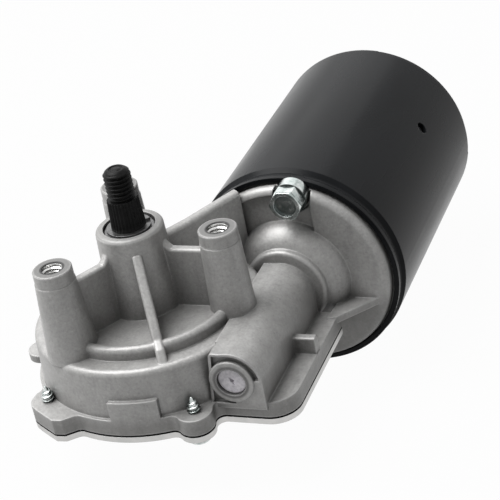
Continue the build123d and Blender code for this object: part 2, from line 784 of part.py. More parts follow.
def lamination_core():
    sketch = Circle(core_r)
    for k in range(slots):
        mouth = Pos(slot_top_r + 1.5, 0) * Rectangle(5, slot_mouth)
        sketch -= Rot(0, 0, 360 / slots * k) * (slot_sketch(0) + mouth)
    sketch -= Circle(armature_r + seat_gap)
    return along_motor(sketch, *core_y)


def winding():
    sketch = Sketch() + Rot(0, 0, 0) * slot_sketch(loose_gap)
    for k in range(1, slots):
        sketch += Rot(0, 0, 360 / slots * k) * slot_sketch(loose_gap)
    body = along_motor(sketch, core_y[0] - 1, core_y[1] + 1)
    for y0, y1 in ((core_y[0] - 6.5, core_y[0] - 0.3), (core_y[1] + 0.3, core_y[1] + 7)):
        head = outline([(armature_r + 5, y0), (slot_top_r - 0.4, y0), (slot_top_r - 0.4, y1), (armature_r + 5, y1)])
        head = soften(head, [(slot_top_r - 0.4, y0), (slot_top_r - 0.4, y1), (armature_r + 5, y0)], 2.4)
        body += lathe_y(head)
    return body


def commutator_hub():
    y0, y1 = commutator_y
    hub = lying_rod(commutator_hub_r, y0 + 0.5, y1 + 1.4)
    return hub - lying_rod(armature_r + seat_gap, y0 - 1, y1 + 3)


def commutator_bars():
    y0, y1 = commutator_y
    inner_r = commutator_hub_r + seat_gap
    ring = lying_rod(commutator_r, y0, y1) + lying_rod(commutator_r + 1.4, y1 - 1.4, y1)
    ring -= lying_rod(inner_r, y0 - 1, y1 + 1)
    half = 180 / slots - degrees(commutator_bar_gap / 2 / commutator_r)
    bars = []
    for k in range(slots):
        sector = outline([(0, 0), polar(20, 360 / slots * k - half), polar(20, 360 / slots * k + half)])
        bars.append(ring & along_motor(sector, y0 - 1, y1 + 1))
    return bars


# Brush gear
def radial_box(r0, r1, y0, y1, width, angle):
    return around_motor(box(axis_x + r0, axis_x + r1, y0, y1, axis_z - width / 2, axis_z + width / 2), angle)


def brush_levels():
    box_low = spigot_end_y + brush_plate_thickness
    brush_low = box_low + brush_wall + loose_gap
    return box_low, brush_low, brush_low + brush_height, brush_low + brush_height + loose_gap + brush_wall


def brush_plate():
    y0 = spigot_end_y
    y1 = y0 + brush_plate_thickness
    plate = lying_rod(spigot_r - 0.6, y0, y1) - lying_rod(brush_plate_hole_r, y0 - 1, y1 + 1)
    for dx, dz in bolt_places():
        plate -= lying_rod(bolt_r + 0.6, y0 - 1, y1 + 1, axis_x + dx, axis_z + dz)
    return plate


def brush_box(angle):
    low_y, _, _, high_y = brush_levels()
    inner_r = commutator_r + 3.0
    hole_width = brush_width + 2 * loose_gap
    case = radial_box(inner_r, brush_box_end_r, low_y, high_y, hole_width + 2 * brush_wall, angle)
    hollow = radial_box(inner_r - 1, brush_box_end_r - brush_wall, low_y + brush_wall, high_y - brush_wall, hole_width, angle)
    return case - hollow


def carbon_brush(angle):
    _, y0, y1, _ = brush_levels()
    start = commutator_r + 0.02
    block = radial_box(start - 0.6, start + brush_length, y0, y1, brush_width, angle)
    return block - lying_rod(start, y0 - 1, y1 + 1)


def brush_spring(angle):
    """Coil that pushes the brush in, wound in a helix of wire."""
    _, y0, y1, _ = brush_levels()
    start = commutator_r + 0.02 + brush_length
    wire_r = 0.3
    length = brush_box_end_r - brush_wall - start - 2 * wire_r
    coil_r = 1.7
    path = Helix(length / 4, length, coil_r)
    coil = sweep(Plane(origin=path @ 0, z_dir=path % 0) * Circle(wire_r), path=path, is_frenet=True)
    place = Pos(axis_x + start + wire_r, (y0 + y1) / 2, axis_z) * Rot(0, 90, 0)
    return around_motor(place * coil, angle)


def choke(angle):
    y0 = spigot_end_y + brush_plate_thickness
    x, z = polar(choke_ring_r, angle)
    coil = lying_rod(choke_r, y0 + 1, y0 + choke_length - 1, axis_x + x, axis_z + z)
    return coil + lying_rod(choke_r - 1.2, y0, y0 + choke_length, axis_x + x, axis_z + z)


# Motor bearings and end thrust
def lying_bush(outer_r, inner_r, y0, y1):
    return lying_rod(outer_r - seat_gap, y0, y1) - lying_rod(inner_r + running_gap, y0 - 1, y1 + 1)


def rear_bush():
    y0, y1 = rear_bush_y
    profile = outline([(armature_r + running_gap, y0), (rear_bush_r - 1, y0), (rear_bush_r - seat_gap, y0 + 1.6),
                       (rear_bush_r - seat_gap, y1), (armature_r + running_gap, y1)])
    return lathe_y(profile)


def bush_retainer():
    y0 = rear_bush_y[0]
    rim_y = drum_end_y - drum_wall - 0.3
    sheet = 0.4
    lower = [(armature_r + 0.8, y0 - sheet), (rear_bush_r, y0 - sheet), (12, rim_y - sheet), (15, rim_y - sheet)]
    upper = [(15, rim_y), (12, rim_y), (rear_bush_r, y0), (armature_r + 0.8, y0)]
    return lathe_y(outline(lower + upper))


def thrust_plug():
    body = lying_rod(plug_r - seat_gap, plug_front_y, plug_front_y + plug_length)
    body = chamfer(body.edges().group_by(Axis.Y)[0], 0.3)
    slot = Pos(axis_x, plug_front_y, axis_z) * Rot(0, 60, 0) * Box(2.8, 0.6, 0.7)
    return body - slot - lying_rod(0.6, plug_front_y - 1, plug_front_y + 1.2)


def thrust_ball():
    return Pos(axis_x, plug_front_y + plug_length + ball_r, axis_z) * Sphere(ball_r)


def tie_bolt(dx, dz):
    x, z = axis_x + dx, axis_z + dz
    collar_y = bolt_seat_y - bolt_collar_height
    rim_r = bolt_collar_r
    collar = Pos(x, collar_y, z) * Rot(-90, 0, 0) * Cone(rim_r - 0.2, rim_r, bolt_collar_height, align=low)
    hexagon = RegularPolygon(bolt_hex / 2, 6, major_radius=False)
    plane = Plane(origin=(x, collar_y + 0.5, z), x_dir=(1, 0, 0), z_dir=(0, -1, 0))
    head = extrude(plane * hexagon, bolt_hex_height + 0.5)
    face_y = collar_y - bolt_hex_height
    dish = lying_rod(bolt_hex / 2 - 1.0, face_y - 1, face_y + 0.8, x, z)
    crown = Pos(x, face_y, z) * Rot(-90, 0, 0) * Cone(bolt_hex / 2 + 0.1, bolt_hex, 3.1, align=low)
    crown += lying_rod(bolt_hex, face_y + 3, collar_y + 1, x, z)
    head = (head & crown) - dish
    return collar + head + lying_rod(bolt_r, bolt_seat_y, drum_end_y, x, z)


def tie_bolts():
    return [tie_bolt(dx, dz) for dx, dz in bolt_places()]


# Park switch and terminals
def switch_plate():
    top = cover_top_z + switch_plate_thickness
    return rod(switch_plate_r, cover_top_z, top) - rod(shaft_r + 2, cover_top_z - 1, top + 1)


def contact_finger(radius):
    """Sprung strip that rises from the plate to the ring on the wheel."""
    base_z = cover_top_z + switch_plate_thickness
    tip_z = wheel_bottom - contact_ring_thickness - finger_gap
    t = finger_thickness
    lower = [(-18, base_z), (-12, base_z), (2, tip_z - t), (5, tip_z - t - 0.8)]
    upper = [(5, tip_z - 0.8), (2, tip_z), (-12.4, base_z + t), (-18, base_z + t)]
    face = outline(lower + upper)
    strip = extrude(Plane.XZ * face, finger_width / 2, both=True)
    return Pos(0, -radius, 0) * strip


def contact_fingers():
    return [contact_finger(radius) for radius in finger_radii]


def socket_levels():
    return cover_bottom_z - socket_depth, cover_bottom_z


def terminal_socket():
    z0, z1 = socket_levels()
    x0, x1 = socket_x
    y0, y1 = socket_y
    w = socket_wall
    shroud = box(x0, x1, y0, y1, z0, z1)
    shroud = fillet(shroud.edges().filter_by(Axis.Z), 2.0)
    inside = box(x0 + w, x1 - w, y0 + w, y1 - w, z0 - 1, z1 - 1.6)
    inside = fillet(inside.edges().filter_by(Axis.Z), 0.8)
    shroud -= inside
    inset = w + 1 + loose_gap
    shroud += box(x0 + inset, x1 - inset, y0 + inset, y1 - inset, z1 - 0.5, cover_top_z - 0.05)
    for x, y in blade_places():
        shroud -= box(x - blade_size[0] / 2, x + blade_size[0] / 2, y - blade_size[1] / 2, y + blade_size[1] / 2,
                      z0, cover_top_z + 1)
    return shroud


def blade_places():
    middle_x = sum(socket_x) / 2
    middle_y = sum(socket_y) / 2
    return [(middle_x + dx, middle_y + dy) for dx in (-4.2, 4.2) for dy in (-3.6, 3.6)]


def terminal_blade(x, y):
    z0, z1 = socket_levels()
    w, d = blade_size
    return box(x - w / 2 + seat_gap, x + w / 2 - seat_gap, y - d / 2 + seat_gap, y + d / 2 - seat_gap,
               z1 - blade_length, cover_top_z - 0.05)


def save(name, shapes):
    solids = shapes if isinstance(shapes, list) else [shapes]
    flat = [solid for shape in solids for solid in shape.solids()]
    node = flat[0] if len(flat) == 1 else Compound(children=flat)
    export_step(node, os.path.join("parts", name + ".step"))


os.makedirs("parts", exist_ok=True)
save("gear_housing", gear_housing())
save("gear_cover", gear_cover())
save("cover_gasket", cover_gasket())
save("cover_screws", cover_screws())
save("output_shaft", output_shaft())
save("worm_wheel", worm_wheel())
save("contact_ring", contact_ring())
save("output_shaft_bushes", output_bushes())
save("shaft_seal_ring", shaft_seal())
save("shaft_washer", shaft_washer())
save("shaft_circlip", shaft_circlip())
save("wheel_thrust_washer", thrust_washer())
save("motor_can", motor_can())
save("magnets", magnets())
save("armature_shaft", armature_shaft())
save("lamination_core", lamination_core())
save("armature_winding", winding())
save("commutator_hub", commutator_hub())
save("commutator_bars", commutator_bars())
save("brush_plate", brush_plate())
save("brush_boxes", [brush_box(angle) for angle in brush_angles])
save("carbon_brushes", [carbon_brush(angle) for angle in brush_angles])
save("brush_springs", [brush_spring(angle) for angle in brush_angles])
save("suppression_chokes", [choke(angle) for angle in choke_angles])
save("hub_bush", lying_bush(hub_bush_r, armature_r, *hub_bush_y))
save("nose_bush", lying_bush(nose_bush_r, journal_r, *nose_bush_y))
save("rear_bush", rear_bush())
save("rear_bush_retainer", bush_retainer())
save("thrust_plug", thrust_plug())
save("thrust_ball", thrust_ball())
save("tie_bolts", tie_bolts())
save("switch_plate", switch_plate())
save("contact_fingers", contact_fingers())
save("terminal_socket", terminal_socket())
save("terminal_blades", [terminal_blade(x, y) for x, y in blade_places()])
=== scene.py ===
import bmesh
import bpy
import json
import math
from mathutils import Matrix, Vector

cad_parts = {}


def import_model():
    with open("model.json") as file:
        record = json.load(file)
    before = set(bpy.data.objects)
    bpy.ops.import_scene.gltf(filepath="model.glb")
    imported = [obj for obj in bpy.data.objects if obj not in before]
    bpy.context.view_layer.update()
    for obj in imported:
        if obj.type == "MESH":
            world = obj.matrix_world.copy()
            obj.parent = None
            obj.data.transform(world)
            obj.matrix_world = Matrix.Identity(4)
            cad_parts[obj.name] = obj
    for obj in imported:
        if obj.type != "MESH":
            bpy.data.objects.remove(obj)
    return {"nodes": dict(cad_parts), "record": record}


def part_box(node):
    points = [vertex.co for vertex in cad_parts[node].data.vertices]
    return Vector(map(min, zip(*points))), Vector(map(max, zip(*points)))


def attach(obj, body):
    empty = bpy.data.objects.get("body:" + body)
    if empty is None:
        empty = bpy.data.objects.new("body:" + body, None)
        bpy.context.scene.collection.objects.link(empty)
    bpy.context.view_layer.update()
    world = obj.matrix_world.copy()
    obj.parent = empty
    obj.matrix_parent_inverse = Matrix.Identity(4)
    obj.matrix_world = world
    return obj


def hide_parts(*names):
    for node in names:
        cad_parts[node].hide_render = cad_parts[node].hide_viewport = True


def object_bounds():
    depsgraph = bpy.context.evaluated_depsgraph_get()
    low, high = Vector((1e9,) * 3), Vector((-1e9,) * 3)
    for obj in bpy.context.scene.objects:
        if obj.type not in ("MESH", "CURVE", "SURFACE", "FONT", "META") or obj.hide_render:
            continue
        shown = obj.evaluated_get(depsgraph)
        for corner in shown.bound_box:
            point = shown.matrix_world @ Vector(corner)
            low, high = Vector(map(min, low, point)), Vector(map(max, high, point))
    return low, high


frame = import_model()
cad_low, cad_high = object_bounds()

# Camera: its place in metres, the directions of its right, up and back, and millimetres for lens and sensor
CAMERA_PLACE = (0.208503, -0.365411, 0.219649)
CAMERA_RIGHT = (0.927413, 0.330860, -0.174461)
CAMERA_UP = (-0.024238, 0.518604, 0.854671)
CAMERA_BACK = (0.373252, -0.788405, 0.488980)
CAMERA_LENS = 120.727
SENSOR_WIDTH = 36.0
CLIP_START = 0.01

# A millimetre, and the body that stands still
MM = 0.001
REST_BODY = "gearbox_and_drum"

# Middle of the round plug in the end of the worm tunnel
plug_low, plug_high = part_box("thrust_plug")
PLUG_X = (plug_low[0] + plug_high[0]) / 2
PLUG_Y = plug_low[1]
PLUG_Z = (plug_low[2] + plug_high[2]) / 2

# Painted shade in the gap round that plug: where it fades out, by radius and by distance behind the plug's
# face
PLUG_SHADE_R = (5.6 * MM, 5.0 * MM)
PLUG_SHADE_DEPTH = (1.6 * MM, 0.8 * MM)

# Axes of the mounting posts
POST_RING_R = 27.0 * MM
POST_ANGLES = (0.0, -120.0, 120.0)
POST_HOLE_R = 3.0 * MM

# Rings on the posts' faces, by distance past the hole's radius, and the heights at which faces start; the
# ring at each hole's mouth is painted shade of a chamfer
POST_MOUTH_SHADE = (0.70 * MM, 0.40 * MM)
POST_RIM = (1.8 * MM, 2.5 * MM)
FACED_Z = (-0.25 * MM, -0.10 * MM)

# Heights between which painted shade darkens the foot of the bowl's wall
LOW_WALL_SHADE_Z = (-40.5 * MM, -44.5 * MM)

# Ends of the tie bolts' hexagon heads, along y
BOLT_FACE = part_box("tie_bolts")[0][1]
BOLT_HEX_HEIGHT = 4.2 * MM
BOLT_DISH = 0.8 * MM

# Background and light
FLOOR_GLOW = 0.97
FLOOR_GREY = (0.38, 0.38, 0.38, 1.0)
FLOOR_SIZE = 6.0
FLOOR_GAP = 0.5 * MM
SOFT_LIGHT = 0.13
WHITE = (1.0, 1.0, 1.0, 1.0)
LAMP_TARGET = (0.02, 0.04, -0.03)


# Node tree helpers
class Paint:
    """A new material and short calls that add nodes to it."""

    def __init__(self, name):
        self.material = bpy.data.materials.new(name)
        self.material.use_nodes = True
        self.nodes = self.material.node_tree.nodes
        self.links = self.material.node_tree.links
        self.shader = next(n for n in self.nodes if n.type == "BSDF_PRINCIPLED")
        self.place = self.nodes.new("ShaderNodeTexCoord").outputs["Object"]

    def set(self, **values):
        for key, value in values.items():
            self.shader.inputs[key.replace("_", " ")].default_value = value
        return self

    def plug(self, socket, value):
        if isinstance(value, bpy.types.NodeSocket):
            self.links.new(value, socket)
        else:
            socket.default_value = value

    def noise(self, size, detail=3.0, rough=0.5, stretch=None, seed=0.0):
        """Noise whose features measure about this size, in metres."""
        node = self.nodes.new("ShaderNodeTexNoise")
        node.noise_dimensions = "4D"
        node.inputs["W"].default_value = seed
        node.inputs["Scale"].default_value = 1.0 / size
        node.inputs["Detail"].default_value = detail
        node.inputs["Roughness"].default_value = rough
        source = self.place
        if stretch:
            scale = self.nodes.new("ShaderNodeVectorMath")
            scale.operation = "MULTIPLY"
            scale.inputs[1].default_value = stretch
            self.links.new(source, scale.inputs[0])
            source = scale.outputs[0]
        self.links.new(source, node.inputs["Vector"])
        return node.outputs["Fac"]

    def span(self, value, low, high, to_low=0.0, to_high=1.0):
        node = self.nodes.new("ShaderNodeMapRange")
        self.links.new(value, node.inputs["Value"])
        for key, number in (("From Min", low), ("From Max", high), ("To Min", to_low), ("To Max", to_high)):
            node.inputs[key].default_value = number
        return node.outputs["Result"]

    def math(self, operation, a, b=0.0):
        node = self.nodes.new("ShaderNodeMath")
        node.operation = operation
        self.plug(node.inputs[0], a)
        self.plug(node.inputs[1], b)
        return node.outputs[0]

    def mix(self, share, a, b):
        node = self.nodes.new("ShaderNodeMix")
        node.data_type = "RGBA"
        self.plug(node.inputs["Factor"], share)
        for socket, value in ((node.inputs[6], a), (node.inputs[7], b)):
            self.plug(socket, value if isinstance(value, bpy.types.NodeSocket) else (*value, 1.0))
        return node.outputs[2]

    def axes(self):
        node = self.nodes.new("ShaderNodeSeparateXYZ")
        self.links.new(self.place, node.inputs[0])
        return node.outputs

    def radius(self, a, b):
        """Distance from the axis along the third direction, from two coordinates."""
        return self.math("SQRT", self.math("ADD", self.math("MULTIPLY", a, a), self.math("MULTIPLY", b, b)))

    def round_edges(self, radius):
        node = self.nodes.new("ShaderNodeBevel")
        node.samples = 6
        node.inputs["Radius"].default_value = radius
        return node.outputs["Normal"]

    def bump(self, height, distance, strength=1.0, normal=None):
        node = self.nodes.new("ShaderNodeBump")
        node.inputs["Strength"].default_value = strength
        node.inputs["Distance"].default_value = distance
        self.links.new(height, node.inputs["Height"])
        if normal is not None:
            self.links.new(normal, node.inputs["Normal"])
        return node.outputs["Normal"]

    def edges(self, rounded):
        """1 on an edge and 0 on open surface, from a rounded normal."""
        dot = self.nodes.new("ShaderNodeVectorMath")
        dot.operation = "DOT_PRODUCT"
        self.links.new(rounded, dot.inputs[0])
        self.links.new(self.nodes.new("ShaderNodeNewGeometry").outputs["Normal"], dot.inputs[1])
        return self.span(dot.outputs["Value"], 0.985, 0.86)

    def facing_up(self):
        split = self.nodes.new("ShaderNodeSeparateXYZ")
        self.links.new(self.nodes.new("ShaderNodeNewGeometry").outputs["Normal"], split.inputs[0])
        return self.span(split.outputs["Z"], 0.25, 0.80)

    def occlusion(self, distance):
        node = self.nodes.new("ShaderNodeAmbientOcclusion")
        node.samples = 6
        node.inputs["Distance"].default_value = distance
        return node.outputs["AO"]

    def finish(self, color=None, rough=None, normal=None):
        for key, value in (("Base Color", color), ("Roughness", rough), ("Normal", normal)):
            if value is not None:
                self.plug(self.shader.inputs[key], value)
        return self.material


def cast_aluminium():
    p = Paint("cast_aluminium")
    p.set(Metallic=0.28)
    grain = p.noise(0.0008, 3.0, 0.7)
    mottle = p.noise(0.004, 5.0, 0.65, seed=2.0)
    broad = p.noise(0.03, 2.0, 0.5, seed=5.0)
    drawn = p.noise(0.0024, 3.0, 0.6, stretch=(1.0, 1.0, 0.12), seed=9.0)
    x, y, z = p.axes()
    rounded = p.round_edges(0.0006)
    tone = p.mix(p.span(mottle, 0.33, 0.68), (0.33, 0.327, 0.321), (0.425, 0.421, 0.414))
    tone = p.mix(p.span(broad, 0.35, 0.7, 0.0, 0.4), tone, (0.345, 0.340, 0.330))
    tone = p.mix(p.span(drawn, 0.50, 0.70, 0.0, 0.35), tone, (0.24, 0.238, 0.233))
    tone = p.mix(p.span(grain, 0.50, 0.30, 0.0, 0.5), tone, (0.22, 0.218, 0.215))
    tone = p.mix(p.span(grain, 0.56, 0.74, 0.0, 0.5), tone, (0.56, 0.555, 0.55))
    faced = p.span(z, *FACED_Z)
    tone = p.mix(p.math("MULTIPLY", faced, 0.8), tone, (0.12, 0.119, 0.117))
    from_plug = p.radius(p.math("SUBTRACT", x, PLUG_X), p.math("SUBTRACT", z, PLUG_Z))
    behind_face = p.math("SUBTRACT", y, PLUG_Y)
    # Painted shade: a dark ring in the gap round the plug
    plug_shade = p.math("MULTIPLY", p.span(from_plug, *PLUG_SHADE_R), p.span(behind_face, *PLUG_SHADE_DEPTH))
    tone = p.mix(p.math("MULTIPLY", plug_shade, 0.75), tone, (0.06, 0.058, 0.058))
    up = p.facing_up()
    # Painted shade: the foot of the bowl's wall darker on faces that don't face up
    low_wall_shade = p.math("MULTIPLY", p.span(up, 0.0, 1.0, 0.45, 0.0), p.span(z, *LOW_WALL_SHADE_Z))
    tone = p.mix(low_wall_shade, tone, (0.11, 0.108, 0.102))
    post = None
    for angle in POST_ANGLES:
        place = [POST_RING_R * turn(math.radians(angle)) for turn in (math.cos, math.sin)]
        away = p.radius(p.math("SUBTRACT", x, place[0]), p.math("SUBTRACT", y, place[1]))
        post = away if post is None else p.math("MINIMUM", post, away)
    past_hole = p.math("SUBTRACT", post, POST_HOLE_R)
    rim = p.math("MULTIPLY", faced, p.span(past_hole, *POST_RIM, 0.0, 0.6))
    tone = p.mix(rim, tone, (0.34, 0.337, 0.33))
    open_side = p.span(p.occlusion(0.011), 0.30, 0.92)
    # Edges lighter, less in hollows: partly wear, partly painted highlight
    wear_and_highlight = p.math("MULTIPLY", p.edges(p.round_edges(0.0009)), p.math("MULTIPLY", open_side, 0.5))
    tone = p.mix(wear_and_highlight, tone, (0.62, 0.615, 0.61))
    # Painted shade: a near-black ring at each post hole's mouth, for the shade of a chamfer
    mouth_shade = p.math("MULTIPLY", faced, p.span(past_hole, *POST_MOUTH_SHADE, 0.0, 0.95))
    tone = p.mix(mouth_shade, tone, (0.02, 0.02, 0.02))
    # Painted shade: darker in hollows and corners, less on faces that face up
    crevice_shade = p.math("MULTIPLY", p.span(open_side, 0.0, 1.0, 0.62, 0.0), p.span(up, 0.0, 1.0, 1.0, 0.45))
    tone = p.mix(crevice_shade, tone, (0.05, 0.049, 0.047))
    rough = p.math("ADD", p.span(grain, 0.3, 0.7, 0.36, 0.50), p.span(faced, 0.0, 1.0, 0.0, 0.10))
    normal = p.bump(p.math("ADD", grain, p.math("MULTIPLY", mottle, 1.6)), 0.00012, 0.6, rounded)
    return p.finish(tone, rough, normal)


def drum_paint():
    p = Paint("drum_black")
    p.set(Metallic=0.0)
    p.shader.inputs["IOR"].default_value = 1.17
    fine = p.noise(0.0007, 2.0, 0.5, seed=3.0)
    broad = p.noise(0.018, 3.0, 0.55, stretch=(1.0, 0.35, 1.0), seed=1.0)
    tone = p.mix(p.span(broad, 0.3, 0.7), (0.0055, 0.0060, 0.0068), (0.010, 0.0108, 0.012))
    rough = p.span(broad, 0.3, 0.7, 0.18, 0.32)
    return p.finish(tone, rough, p.bump(fine, 0.00003, 0.35, p.round_edges(0.0004)))


def zinc():
    p = Paint("zinc_plate")
    p.set(Metallic=1.0)
    cloud = p.noise(0.0022, 4.0, 0.6, seed=4.0)
    speck = p.noise(0.0011, 2.0, 0.5, seed=8.0)
    y = p.axes()[1]
    tone = p.mix(p.span(cloud, 0.38, 0.62), (0.36, 0.41, 0.40), (0.66, 0.69, 0.68))
    dish = p.span(y, BOLT_FACE + BOLT_DISH + 0.0002, BOLT_FACE + BOLT_DISH - 0.0001)
    dish = p.math("MULTIPLY", dish, p.span(y, BOLT_FACE + 0.0002, BOLT_FACE + 0.0006))
    tone = p.mix(p.math("MULTIPLY", dish, 0.7), tone, (0.07, 0.09, 0.085))
    tone = p.mix(p.math("MULTIPLY", dish, p.span(speck, 0.56, 0.64, 0.0, 0.8)), tone, (0.60, 0.64, 0.62))
    # Painted shade: a dark line in the slit between the hexagon and the collar
    from_collar = p.math("ABSOLUTE", p.math("SUBTRACT", y, BOLT_FACE + BOLT_HEX_HEIGHT))
    tone = p.mix(p.span(from_collar, 0.00034, 0.00018, 0.0, 0.9), tone, (0.012, 0.016, 0.015))
    # Painted shade: darker in hollows
    tone = p.mix(p.span(p.occlusion(0.004), 0.35, 0.95, 0.8, 0.0), tone, (0.03, 0.038, 0.036))
    rough = p.span(cloud, 0.3, 0.7, 0.16, 0.30)
    return p.finish(tone, rough, p.bump(cloud, 0.00006, 0.4, p.round_edges(0.00025)))


def plain(
    name, low, high, metal, rough_low, rough_high, size=0.002,
    bump=0.00003, edge=0.0002, seed=0.0, stretch=None, shine=0.5,
):
    """One finish whose colour and roughness both vary with a single noise."""
    p = Paint(name)
    p.set(Metallic=metal, Specular_IOR_Level=shine)
    noise = p.noise(size, 3.0, 0.55, stretch=stretch, seed=seed)
    tone = p.mix(p.span(noise, 0.3, 0.7), low, high)
    rough = p.span(noise, 0.3, 0.7, rough_low, rough_high)
    return p.finish(tone, rough, p.bump(noise, bump, 0.5, p.round_edges(edge)))


MATERIALS = {
    "cast_aluminium": cast_aluminium(),
    "pressed_cover": plain(
        "pressed_cover", (0.50, 0.50, 0.49), (0.62, 0.61, 0.60), 1.0, 0.40, 0.52, 0.004, seed=7.0,
    ),
    "gasket": plain("gasket", (0.004, 0.004, 0.004), (0.010, 0.010, 0.010), 0.0, 0.8, 0.9, shine=0.1),
    "zinc_plated_steel": zinc(),
    "dark_shaft_steel": plain(
        "dark_shaft_steel", (0.003, 0.003, 0.003), (0.012, 0.012, 0.012), 0.1, 0.36, 0.5, 0.0012, shine=0.1,
    ),
    "acetal_white": plain("acetal_white", (0.70, 0.69, 0.64), (0.78, 0.77, 0.72), 0.0, 0.4, 0.5, 0.004),
    "copper_brass": plain("copper_brass", (0.62, 0.36, 0.18), (0.72, 0.46, 0.26), 1.0, 0.28, 0.4, 0.001),
    "bush_bronze": plain("bush_bronze", (0.30, 0.22, 0.13), (0.42, 0.32, 0.20), 1.0, 0.4, 0.55, 0.001),
    "seal_rubber": plain("seal_rubber", (0.012, 0.012, 0.012), (0.025, 0.025, 0.025), 0.0, 0.5, 0.65),
    "spring_steel": plain("spring_steel", (0.10, 0.10, 0.10), (0.20, 0.20, 0.20), 1.0, 0.30, 0.45, 0.001),
    "black_drum": drum_paint(),
    "ferrite": plain("ferrite", (0.06, 0.06, 0.065), (0.10, 0.10, 0.105), 0.2, 0.6, 0.75),
    "bright_steel": plain("bright_steel", (0.50, 0.50, 0.51), (0.62, 0.62, 0.62), 1.0, 0.18, 0.3, 0.001),
    "core_iron": plain(
        "core_iron", (0.16, 0.16, 0.17), (0.28, 0.28, 0.29), 1.0, 0.4, 0.6, 0.0007, stretch=(0.05, 1.0, 0.05),
    ),
    "enamelled_copper": plain(
        "enamelled_copper", (0.42, 0.13, 0.05), (0.60, 0.22, 0.09), 0.7, 0.2, 0.35, 0.0008,
    ),
    "moulded_black": plain("moulded_black", (0.012, 0.012, 0.013), (0.024, 0.024, 0.025), 0.0, 0.45, 0.6),
    "phenolic_brown": plain("phenolic_brown", (0.12, 0.06, 0.03), (0.2, 0.11, 0.06), 0.0, 0.4, 0.55),
    "carbon": plain("carbon", (0.02, 0.02, 0.022), (0.045, 0.045, 0.047), 0.4, 0.5, 0.65),
    "plug_plastic": plain("plug_plastic", (0.62, 0.60, 0.64), (0.92, 0.89, 0.93), 0.0, 0.4, 0.55, 0.0009),
    "tinned_brass": plain("tinned_brass", (0.5, 0.46, 0.34), (0.64, 0.6, 0.48), 1.0, 0.25, 0.4, 0.001),
}

slot_of = {part["node"]: part["material_slot"] for part in frame["record"]["subparts"]}
for name, obj in frame["nodes"].items():
    for slot in obj.material_slots:
        slot.material = MATERIALS[slot_of[name]]


# Pieces with screw threads, in metres like the rest
def circle_of(points):
    return [(math.cos(2 * math.pi * k / points), math.sin(2 * math.pi * k / points)) for k in range(points)]


def skin(name, bands, slot, body, material=None):
    """A new piece: closed surfaces, each through rings of points with a fan over both ends."""
    mesh = bpy.data.meshes.new(name)
    shell = bmesh.new()
    for rings in bands:
        rows = [[shell.verts.new(point) for point in ring] for ring in rings]
        count = len(rows[0])
        for near, far in zip(rows, rows[1:]):
            for k in range(count):
                shell.faces.new((near[k], near[(k + 1) % count], far[(k + 1) % count], far[k]))
        for row in (rows[0], rows[-1]):
            middle = shell.verts.new(sum((v.co for v in row), Vector()) / count)
            for k in range(count):
                shell.faces.new((row[k], row[(k + 1) % count], middle))
    bmesh.ops.recalc_face_normals(shell, faces=shell.faces)
    shell.to_mesh(mesh)
    shell.free()
    mesh.shade_smooth()
    mesh.set_sharp_from_angle(angle=math.radians(50))
    mesh.materials.append(material or MATERIALS[slot])
    piece = bpy.data.objects.new(name, mesh)
    bpy.context.collection.objects.link(piece)
    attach(piece, body)
    return piece


# Output shaft, from bottom to tip
SHAFT_R = 5.0 * MM
SHAFT_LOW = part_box("output_shaft")[0][2]
SHAFT_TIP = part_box("output_shaft")[1][2]
CLIP_GROOVE_R = 4.55 * MM
CLIP_GROOVE = (-0.52 * MM, 0.32 * MM)
KNURL = (0.7 * MM, 9.2 * MM)
KNURL_TEETH = 30
KNURL_DEPTH = 0.3 * MM
KNURL_TOP_R = 4.5 * MM
THREAD_R = 3.95 * MM
THREAD_ROOT_R = 3.28 * MM
THREAD_PITCH = 1.25 * MM
THREAD_START = KNURL[1]
TIP_ROUND = 1.5 * MM
TIP_FACE_R = 2.5 * MM
TIP_RING = ((0.0, 2.1 * MM), (0.25 * MM, 1.9 * MM), (0.25 * MM, 1.5 * MM), (0.05 * MM, 1.3 * MM))
AROUND = 4 * KNURL_TEETH
KNURL_STEPS = 8
THREAD_STEPS = 14


def knurl_radius(z, k):
    share = (z - KNURL[0]) / (KNURL[1] - KNURL[0])
    crest = SHAFT_R + (KNURL_TOP_R - SHAFT_R) * share
    return crest - KNURL_DEPTH * (0.0, 0.5, 1.0, 0.5)[k % 4]


def thread_height(phase):
    """0 at the root, 1 at the crest, for a phase that grows by one each turn."""
    across = abs(2.0 * (phase % 1.0) - 1.0)
    return min(1.0, max(0.0, (across - 0.2) / 0.66))


def thread_radius(z, k):
    rise = min(1.0, (z - THREAD_START) / (0.8 * THREAD_PITCH))
    height = thread_height(z / THREAD_PITCH - k / AROUND) * rise
    radius = THREAD_ROOT_R + (THREAD_R - THREAD_ROOT_R) * height
    past = max(0.0, (z - (SHAFT_TIP - TIP_ROUND)) / TIP_ROUND)
    return min(radius, THREAD_R - (THREAD_R - TIP_FACE_R) * past ** 1.6)


def threaded_shaft():
    around = circle_of(AROUND)

    def ring(z, radius):
        return [(radius(k) * c, radius(k) * s, z) for k, (c, s) in enumerate(around)]

    rings = [ring(SHAFT_LOW, lambda k: SHAFT_R)]
    for z, radius in (
        (CLIP_GROOVE[0], SHAFT_R), (CLIP_GROOVE[0], CLIP_GROOVE_R), (CLIP_GROOVE[1], CLIP_GROOVE_R),
        (CLIP_GROOVE[1], SHAFT_R), (KNURL[0] - 0.2 * MM, SHAFT_R),
    ):
        rings.append(ring(z, lambda k, r=radius: r))
    for step in range(KNURL_STEPS + 1):
        z = KNURL[0] + (KNURL[1] - KNURL[0]) * step / KNURL_STEPS
        rings.append(ring(z, lambda k, z=z: knurl_radius(z, k)))
    steps = round((SHAFT_TIP - THREAD_START) / THREAD_PITCH * THREAD_STEPS)
    for step in range(steps + 1):
        z = THREAD_START + (SHAFT_TIP - THREAD_START) * step / steps
        rings.append(ring(z, lambda k, z=z: thread_radius(z, k)))
    for back, radius in TIP_RING:
        rings.append(ring(SHAFT_TIP - back, lambda k, r=radius: r))
    piece = skin("threaded_output_shaft", [rings], "dark_shaft_steel", "output")
    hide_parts("output_shaft")


